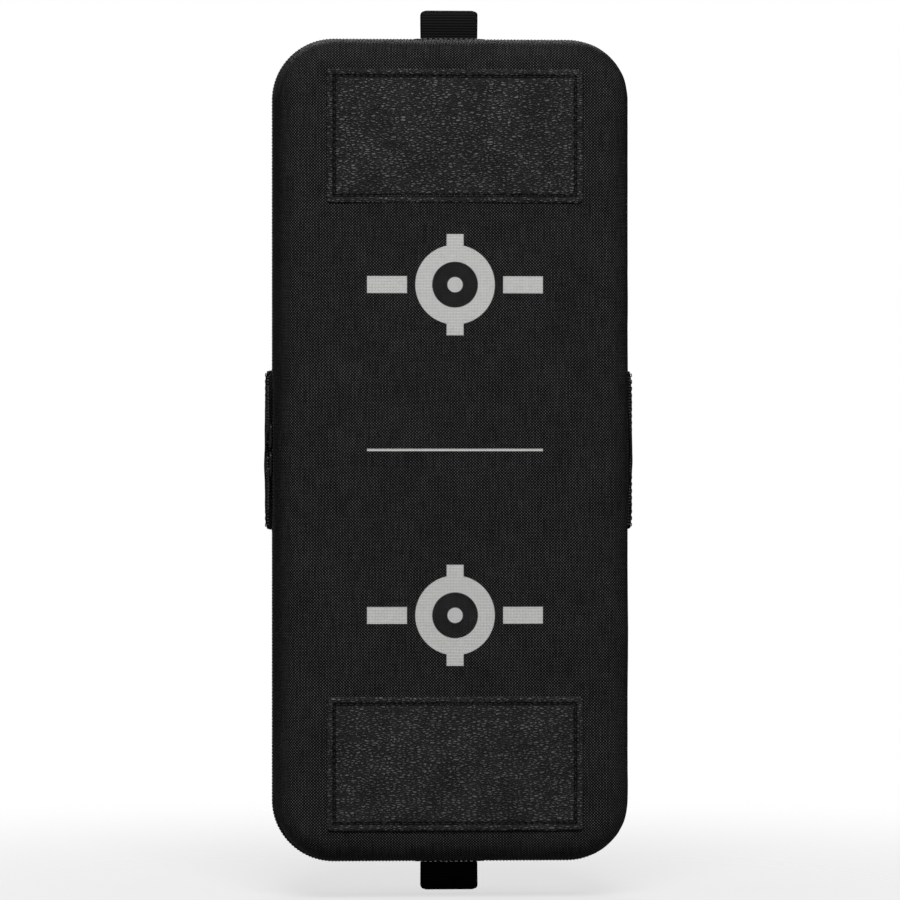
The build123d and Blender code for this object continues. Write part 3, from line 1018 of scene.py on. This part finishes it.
def spine():
    """Fabric hinge on the +X side, with a soft pleat at the zip plane."""
    reach = HINGE_ARC + 1.0 * MM
    distance = np.arange(-reach, reach, 2.4 * MM)
    upper_wall = SPINE_WALL + 8 * MM * math.tan(BACK_DRAFT)
    profile = [
        (upper_wall, 16.8), (SPINE_WALL, 9.4), (4.6 * MM, 8.1), (2.4 * MM, 6.7),
        (1.7 * MM, 5.6), (1.5 * MM, 4.0), (1.7 * MM, 2.2), (2.2 * MM, 0.9), (2.5 * MM, 0.0),
    ]
    full = profile + [(inset, -height) for inset, height in profile[-2::-1]]
    even = np.linspace(0, len(full) - 1, SPINE_ROWS)
    insets = np.interp(even, range(len(full)), [p[0] for p in full])
    heights = np.interp(even, range(len(full)), [p[1] * MM for p in full])
    edge, out = outline_at(distance % OUTLINE_LENGTH, HALF_WIDTH, HALF_LENGTH, CORNER_R)
    rows = []
    for thickness in (0.0, SPINE_THICKNESS):
        for inset, height in zip(insets, heights):
            rows.append(in_half(at_height(edge - out * (inset + thickness), height), BACK))
    points = np.stack(rows)
    order = np.concatenate([points[:SPINE_ROWS], points[SPINE_ROWS:][::-1], points[:1]])
    band = (order.reshape(-1, 3), band_faces(len(order), len(distance), closed=False))
    gusset = build("spine_fabric", band, TAPE)
    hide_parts("spine_gusset")
    start, end = ((HINGE[0], ZIP_Y + side * 6.5 * MM, BODY_Z) for side in (BACK, FRONT))
    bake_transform(gusset)
    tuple(start)
    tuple(end)


spine()


# --- inside: linings and centre foam


def lining(half, side):
    """Cloth stretched over the foam inside a half, a little slack between its edges."""
    node = half + "_lining"
    low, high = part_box(node)
    half_width, half_length, _ = face_of(node)
    radius = CORNER_R - (HALF_WIDTH - half_width)
    inner = min(abs(low.y - ZIP_Y), abs(high.y - ZIP_Y))

    def height(u, v, inset):
        settle = ease(inset / (14 * MM))
        slack = [noise.fractal(Vector((a * 14, b * 14, side)), 1.0, 2.0, 3) for a, b in zip(u, v)]
        return inner + 0.45 * MM * (1 - 0.6 * settle) + 0.4 * MM * settle * np.array(slack)

    across, along = (spaced(size, 9 * MM, 1.5 * MM, 3.5 * MM) for size in (half_width, half_length))
    points, faces = relief(across, along, half_width, half_length, radius, height)
    cloth = build(node + "_cloth", (in_half(points, side), faces), LINING, flip=side == FRONT)
    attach(cloth, half + "_half")
    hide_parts(node)


lining("front", FRONT)
lining("back", BACK)


def centre_slab():
    """Loose foam slab between the linings, with eased edges."""
    low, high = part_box("centre_foam")
    half_width, half_length, _ = face_of("centre_foam")
    half = (high.y - low.y) / 2
    profile = [(2.4 * MM, -half), (0.7 * MM, -half + 0.7 * MM), (0, -half + 2.4 * MM)]
    profile += [(inset, -height) for inset, height in profile[::-1]]
    outline = (half_width - 0.4 * MM, half_length - 0.4 * MM, CORNER_R - 10 * MM)
    points, faces = slab(*outline, profile, 5 * MM)
    slab_obj = build("centre_foam_slab", (in_half(points, FRONT), faces), SOFT_FOAM)
    remesh(slab_obj, 5 * MM)
    at = coordinates(slab_obj)
    blow_up(slab_obj, 3.0, np.zeros(len(at), bool), 0.5 * MM)
    rumple(slab_obj, 0.04, 0.35 * MM, 5.5)
    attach(slab_obj, "back_half")
    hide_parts("centre_foam")


centre_slab()


# --- side grips

GRIP_CORNER = 4.5 * MM
GRIP_SEAM = 5.2 * MM
GRIP_LOW, GRIP_HIGH = 0.5 * MM, 5.6 * MM
GRIP_HALF_WIDTH, GRIP_HALF_LENGTH = 12.5 * MM, 54 * MM
GRIP_MIDDLE = 13.5 * MM
GRIP_STITCHES = (9.3 * MM, 50.8 * MM, 2 * MM)
GRIP_BORDER, GRIP_BORDER_SEAM = (12.9 * MM, 54.4 * MM, GRIP_CORNER), 3.6 * MM
GRIP_AWAY = 36 * MM
ROPE_STEP, ROPE_LAY, ROPE_HALF_LENGTH = 0.4, 3.4, 55 * MM


def gauss(value, middle, width):
    return np.exp(-(((value - middle) / width) ** 2))


def strands(ring, angle):
    """Swelling of a rope of three strands, in millimetre steps along it."""
    turns = 2 * math.pi * ROPE_STEP / ROPE_LAY
    return 0.9 + 0.13 * np.abs(np.cos((angle - ring * turns) * 1.5))


def side_grip(edge, side):
    """Padded flap with twisted piping along its hinged edge. side is +1 on the hinge edge.

    The flap's own coordinates run towards the zip, up, and out of the wall.
    """
    prefix = edge + "_side_grip"
    towards_zip = (side * math.sin(BACK_DRAFT), -math.cos(BACK_DRAFT), 0)
    out = (side * math.cos(BACK_DRAFT), math.sin(BACK_DRAFT), 0)
    axes = np.array([towards_zip, (0, 0, 1), out], float)
    origin_x = HALF_WIDTH - (GRIP_AWAY - RIM) * math.tan(BACK_DRAFT)
    origin = np.array([side * origin_x, ZIP_Y + GRIP_AWAY, BODY_Z])
    low, high = GRIP_LOW, GRIP_HIGH
    profile = [(1.6 * MM, low), (0.5 * MM, low + 0.5 * MM), (0, low + 1.6 * MM)]
    profile += [(0, high - 2.4 * MM), (0.7 * MM, high - 0.7 * MM), (2.4 * MM, high)]
    outline = (GRIP_HALF_WIDTH - 0.5 * MM, GRIP_HALF_LENGTH - 0.5 * MM, GRIP_CORNER)
    points, faces = slab(*outline, profile, 2 * MM)
    points[:, 0] += 1 * MM + GRIP_HALF_WIDTH
    placed = in_axes(points, origin, axes)
    cover = build(prefix + "_padded_cover", (placed, faces), FABRIC, flip=side > 0)
    remesh(cover, 1.9 * MM)

    def to_local(obj):
        return (coordinates(obj) - origin) @ axes.T

    at = to_local(cover)
    blow_up(cover, 6.0, at[:, 0] < 3.5 * MM, 1.0 * MM)
    subdivide(cover)
    rumple(cover, 0.014, 0.3 * MM, 3.1 * side)
    at = to_local(cover)
    seam = gauss(at[:, 0], GRIP_SEAM, 1.0 * MM) * np.clip((at[:, 2] - 2.5 * MM) / (1.5 * MM), 0, 1)
    border = rounded_inset(at[:, 0] - GRIP_MIDDLE, at[:, 1], *GRIP_BORDER)
    rim_seam = gauss(border, GRIP_BORDER_SEAM, 0.9 * MM)
    rim_seam *= np.clip((at[:, 2] - 3.2 * MM) / (1.2 * MM), 0, 1)
    dip = np.maximum(seam * 0.95 * MM, rim_seam * 0.6 * MM)
    at[:, 2] = np.maximum(at[:, 2] - dip, 0.45 * MM)
    set_coordinates(cover, in_axes(at, origin, axes))
    add_vector(cover, "weave", np.column_stack([at[:, 0] + at[:, 2] * 0.6, at[:, 1], at[:, 2] * 0]))
    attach(cover, prefix)
    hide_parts(prefix + "_cover", prefix + "_padding")

    steps = np.arange(-ROPE_HALF_LENGTH, ROPE_HALF_LENGTH, ROPE_STEP * MM)
    ends = np.clip((ROPE_HALF_LENGTH - np.abs(steps)) / (1.2 * MM), 0.2, 1) ** 0.5
    centres = np.stack([0 * steps, steps, np.full(len(steps), 1.7 * MM)], 1)
    rope, rope_faces = tube(centres, 1.62 * MM * ends, (0, 0, 1), sides=18, twist=strands)
    rope_shape = (in_axes(rope, origin, axes), rope_faces)
    piping = build(prefix + "_twisted_piping", rope_shape, PIPING, flip=side > 0)
    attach(piping, prefix)
    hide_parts(prefix + "_piping")

    lines = []
    for place in np.arange(-50 * MM, 50.1 * MM, 5 * MM):
        at_seam = in_axes([(GRIP_SEAM, place, high - 0.25 * MM)], origin, axes)[0]
        lines.append((at_seam, (0, 0, 1), out))
    for (u, v), (out_u, out_v) in zip(*even_places(4.6 * MM, *GRIP_STITCHES)):
        if u >= -6 * MM:
            place = in_axes([(u + GRIP_MIDDLE, v, high - 0.1 * MM)], origin, axes)[0]
            way = in_axes([(-out_v, out_u, 0)], (0, 0, 0), axes)[0]
            lines.append((place, way, out))
    stitches(prefix + "_stitching", lines, prefix, length=3.2 * MM)


side_grip("hinge", 1)
side_grip("zip", -1)


# --- end loops and their anchors


LOOP_SHOULDER, LOOP_BEND, LOOP_TOP = 15.5, 3.4, 19.7
LOOP_CORNER, LOOP_HALF_THICK = 2.4 * MM, 0.8 * MM
SECTION = 21


def end_loop(where, sign):
    """Folded ribbed webbing. sign is +1 at the upper end."""
    node = where + "_loop"
    low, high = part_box(node)
    leg = [(-0.85, 0.9), (-0.9, 2.5), (-1.9, 5.6), (-3.0, 10.6), (-3.35, 14.6)]
    arc = [
        (-LOOP_BEND * math.cos(a), LOOP_SHOULDER + LOOP_BEND * math.sin(a))
        for a in np.linspace(0.15, math.pi - 0.15, 17)
    ]
    fold = np.array(leg + arc + [(-y, z) for y, z in leg[::-1]]) * MM
    lengths = np.concatenate([[0], np.cumsum(np.linalg.norm(np.diff(fold, axis=0), axis=1))])
    steps = np.arange(0, lengths[-1], 0.35 * MM)
    y, z = np.interp(steps, lengths, fold[:, 0]), np.interp(steps, lengths, fold[:, 1])
    tangent = np.stack([np.gradient(y), np.gradient(z)], 1)
    tangent /= np.linalg.norm(tangent, axis=1)[:, None]
    outward = np.stack([-tangent[:, 1], tangent[:, 0]], 1)
    corner_from = LOOP_TOP * MM - LOOP_HALF_THICK - LOOP_CORNER
    drop = np.clip(z - corner_from, 0, LOOP_CORNER * 0.98)
    narrow = LOOP_CORNER - np.sqrt(LOOP_CORNER**2 - drop**2)
    rib = 0.055 * MM * np.cos(2 * math.pi * steps / WEBBING_RIB)
    around = np.concatenate([np.linspace(-1, 1, SECTION), np.linspace(1, -1, SECTION)])
    face = np.repeat([1.0, -1.0], SECTION)
    edge = np.sqrt(np.clip(1 - np.clip((np.abs(around) - 0.955) / 0.045, 0, 1) ** 2, 0.12, 1))
    rows, flat = [], []
    for i, step in enumerate(steps):
        across = around * ((high.x - low.x) / 2 - narrow[i])
        thick = (LOOP_HALF_THICK + rib[i]) * face * edge
        rows.append(np.stack(
            [across, y[i] + outward[i, 0] * thick, z[i] + outward[i, 1] * thick], 1
        ))
        flat.append(np.stack([across, np.full(len(around), step), np.zeros(len(around))], 1))
    points = np.vstack(rows)
    faces = capped_faces(len(steps), len(around))
    anchor_z = BODY_Z + sign * (HALF_LENGTH + 1.75 * MM)
    middle_y = (low.y + high.y) / 2
    placed = np.stack([points[:, 0], middle_y + points[:, 1], anchor_z + sign * points[:, 2]], 1)
    loop = build(node + "_webbing", (placed, faces), WEBBING, flip=sign < 0)
    add_vector(loop, "weave", np.vstack(flat))
    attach(loop, node)
    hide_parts(node)


end_loop("upper", 1)
end_loop("lower", -1)


def anchor_stitches(where, sign):
    """Box stitching on the patch that holds an end loop."""
    low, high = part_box(where + "_loop_anchor")
    slope = math.tan(BACK_DRAFT)
    out = Vector((0, math.sin(BACK_DRAFT), sign * math.cos(BACK_DRAFT)))
    surface = high.z if sign > 0 else low.z

    def at(x, y):
        return (x, y, surface - sign * (y - low.y) * slope + sign * 0.12 * MM)

    lines = []
    half_width = (high.x - low.x) / 2 - 2.2 * MM
    y_low, y_high = low.y + 1.6 * MM, high.y - 1.6 * MM
    down = Vector((0, math.cos(BACK_DRAFT), -sign * math.sin(BACK_DRAFT)))
    for x in np.arange(-half_width, half_width + 0.1 * MM, 3.4 * MM):
        for y in (y_low, y_high):
            lines.append((at(x, y), (1, 0, 0), tuple(out)))
    for y in np.arange(y_low + 1.5 * MM, y_high - 1 * MM, 2.6 * MM):
        for x in (-half_width, half_width):
            lines.append((at(x, y), tuple(down), tuple(out)))
    stitches(where + "_anchor_stitching", lines, "back_half", length=2.6 * MM)


anchor_stitches("upper", 1)
anchor_stitches("lower", -1)


# --- zip sliders and pulls


SLIDER_AXES = ((0, 0, 1), (0, 1, 0), (-1, 0, 0))
EYE = (4.9 * MM, 2.1 * MM, 1.0 * MM)
EYE_POINTS = 40


def slider(where):
    """Two shaped plates, the wedge between them and the bridge that holds the pull."""
    name = where + "_zip_slider"
    low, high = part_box(name)
    centre = (-HALF_WIDTH - COIL_PROUD, ZIP_Y, (low.z + high.z) / 2)
    bevel = [(0.55, 0.0), (0.16, 0.16), (0, 0.5), (0, 0.85), (0.2, 1.15), (0.65, 1.3)]

    def plate(lift):
        profile = [(inset * MM, (lift + height) * MM) for inset, height in bevel]
        return slab(8 * MM, 5.5 * MM, 3 * MM, profile, 0.8 * MM)

    wedge = slab(2.4 * MM, 0.4 * MM, 0.38 * MM, [(0, -4.4 * MM), (0, 0.9 * MM)], 0.4 * MM)
    bend = np.array([
        (-4.3, 1.3), (-4.25, 2.6), (-3.9, 3.5), (-3.1, 3.95), (-1.5, 4.05),
        (1.5, 4.05), (3.1, 3.95), (3.9, 3.5), (4.25, 2.6), (4.3, 1.3),
    ]) * MM
    path = np.stack([bend[:, 0], 0 * bend[:, 0], bend[:, 1]], 1)
    bridge = tube(path, 0.55 * MM, (0, 1, 0), sides=10, flatten=2.1)
    points, faces = joined(plate(0.3), plate(-5.2), wedge, bridge)
    obj = build(name + "_body", (in_axes(points, centre, SLIDER_AXES), faces), METAL)
    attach(obj, where + "_slider")
    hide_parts(name)


def pull(where, way):
    """Wire eye on the bridge and a ridged moulded tab. way is +1 where it points up."""
    name, body = where + "_zip_pull", where + "_pull"
    pivot = np.array(JOINTS[where + "_pull_swing"]["pos_m"])
    total = 4 * quarter_length(*EYE)
    ring, _ = outline_at(np.arange(EYE_POINTS) / EYE_POINTS * total, *EYE)
    wire = np.column_stack([ring[:, 0] + EYE[0], ring[:, 1], np.zeros(EYE_POINTS)])
    eye = tube(wire, 0.62 * MM, (0, 0, 1), sides=10, closed=True)
    profile = [(0.5, -0.66), (0.14, -0.5), (0, -0.2), (0, 0.2), (0.14, 0.5), (0.5, 0.66)]
    profile = [(inset * MM, height * MM) for inset, height in profile]
    tab_points, tab_faces = slab(10.6 * MM, 3.5 * MM, 2.2 * MM, profile, 0.7 * MM)
    tab_points[:, 0] += 19.2 * MM
    mirror = np.array([way, 1, 1])
    wire_shape = (in_axes(eye[0] * mirror, pivot, SLIDER_AXES), eye[1])
    wire_piece = build(name + "_wire", wire_shape, METAL, flip=way < 0)
    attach(wire_piece, body)
    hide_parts(name)
    tab_shape = (in_axes(tab_points * mirror, pivot, SLIDER_AXES), tab_faces)
    tab = build(name + "_tab", tab_shape, PULL_COVER, flip=way < 0)
    add_vector(tab, "weave", tab_points)
    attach(tab, body)


slider("upper")
slider("lower")
pull("upper", 1)
pull("lower", -1)


# --- finishes of the CAD pieces that show

FINISHES = {
    "front_zip_tape": TAPE, "back_zip_tape": TAPE,
    "front_rim_binding": BINDING, "back_rim_binding": BINDING,
    "hinge_side_grip_seam_tape": BINDING, "zip_side_grip_seam_tape": BINDING,
    "upper_loop_anchor": BINDING, "lower_loop_anchor": BINDING,
    "absorber_foam": SOFT_FOAM, "hold_foam": SOFT_FOAM, "palm_foam": SOFT_FOAM,
    "strike_foam": DENSE_FOAM, "backing_board": BOARD,
}
for node_name, finish in FINISHES.items():
    mesh_of_node = frame["nodes"][node_name].data
    mesh_of_node.materials.clear()
    mesh_of_node.materials.append(finish)


# --- floor, light and camera

CENTRE = (CAD_BOX[0] + CAD_BOX[1]) / 2
HEIGHT = CAD_BOX[1].z - CAD_BOX[0].z
FLOOR_POINTS = 128
LIGHTS = {  # place and size in metres, power in watts
    "key": ((-0.1, -2.2, 1.25), (1.4, 1.0), 60),
    "back_key": ((0.1, 2.2, 1.25), (1.4, 1.0), 22),
    "hinge_side": ((2.3, -0.1, 0.9), (0.8, 0.8), 5),
    "zip_side": ((-2.3, 0.1, 0.9), (0.8, 0.8), 5),
    "top": ((0.0, 0.0, 1.6), (1.0, 1.0), 2),
}
BACKDROP_SEEN, BACKDROP_LIGHT = 1.0, 0.03
CAMERA_DISTANCE, CAMERA_YAW = 3.2, math.radians(-3.3)


def floor():
    """Round floor a little below the object."""
    drop = np.full(FLOOR_POINTS, CAD_BOX[0].z - 2 * MM)
    angle = np.arange(FLOOR_POINTS) / FLOOR_POINTS * 2 * math.pi
    rings = [np.column_stack([r * np.cos(angle), r * np.sin(angle), drop]) for r in (0.4, 1.0)]
    faces = [list(range(FLOOR_POINTS))[::-1]] + band_faces(2, FLOOR_POINTS)
    obj = build("floor", (np.vstack(rings), faces), studio_floor(), flip=True)


def area_light(name, place, size, power):
    data = bpy.data.lights.new(name, "AREA")
    data.shape = "RECTANGLE"
    data.size, data.size_y = size
    data.energy = power
    obj = bpy.data.objects.new(name, data)
    obj.location = place
    obj.rotation_mode = "QUATERNION"
    obj.rotation_quaternion = (CENTRE - Vector(place)).to_track_quat("-Z", "Y")
    bpy.context.scene.collection.objects.link(obj)


def studio():
    """Soft light from the front, the back and above. The backdrop shows white and lights little."""
    world = bpy.data.worlds.new("studio")
    world.use_nodes = True
    tree = world.node_tree
    sky = tree.nodes["Background"]
    sky.inputs["Color"].default_value = (1, 1, 1, 1)
    seen = tree.nodes.new("ShaderNodeLightPath").outputs["Is Camera Ray"]
    strength = tree.nodes.new("ShaderNodeMapRange")
    strength.inputs["To Min"].default_value = BACKDROP_LIGHT
    strength.inputs["To Max"].default_value = BACKDROP_SEEN
    tree.links.new(seen, strength.inputs["Value"])
    tree.links.new(strength.outputs[0], sky.inputs["Strength"])
    bpy.context.scene.world = world
    for name, (place, size, power) in LIGHTS.items():
        area_light(name, place, size, power)


def camera():
    """Long lens, nearly square to the strike face."""
    data = bpy.data.cameras.new("camera")
    data.sensor_width = 36
    data.lens = data.sensor_width * CAMERA_DISTANCE / (HEIGHT * 1.02)
    obj = bpy.data.objects.new("camera", data)
    back = Vector((math.sin(CAMERA_YAW), -math.cos(CAMERA_YAW), 0))
    obj.location = CENTRE + back * CAMERA_DISTANCE
    obj.rotation_mode = "QUATERNION"
    obj.rotation_quaternion = (-back).to_track_quat("-Z", "Y")
    data.clip_start, data.clip_end = 0.1, 50
    bpy.context.scene.collection.objects.link(obj)
    bpy.context.scene.camera = obj


floor()
studio()
camera()
bpy.context.scene.view_settings.view_transform = "Standard"
